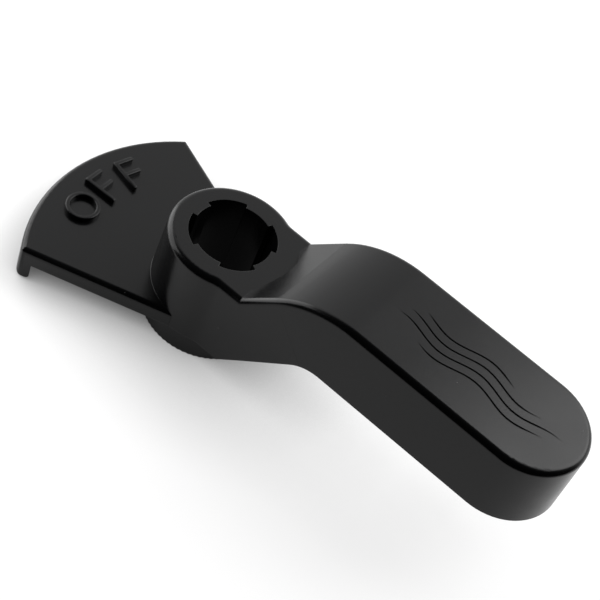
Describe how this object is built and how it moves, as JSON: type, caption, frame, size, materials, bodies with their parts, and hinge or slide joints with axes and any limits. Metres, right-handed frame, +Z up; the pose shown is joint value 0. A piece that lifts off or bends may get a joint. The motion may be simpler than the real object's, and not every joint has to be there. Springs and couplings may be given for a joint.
{
  "type": "diverter valve handle",
  "caption": "Black moulded lever handle for a diverter valve, with a keyed socket, a toothed locking ring, a sector plate and a raised grip.",
  "frame": {"origin": "on the axis of the socket, at the level of the tips of the ring's face teeth, where the handle sits on the valve", "axes": "+Z up along the socket's axis, away from the valve; +X from the socket to the tip of the grip; the sector plate lies on the -X side"},
  "size_m": [0.1834, 0.077, 0.0558],
  "materials": {
    "body": "satin moulded black plastic"
  },
  "bodies": {
    "root": {"handle": "body"}
  },
  "joints": []
}
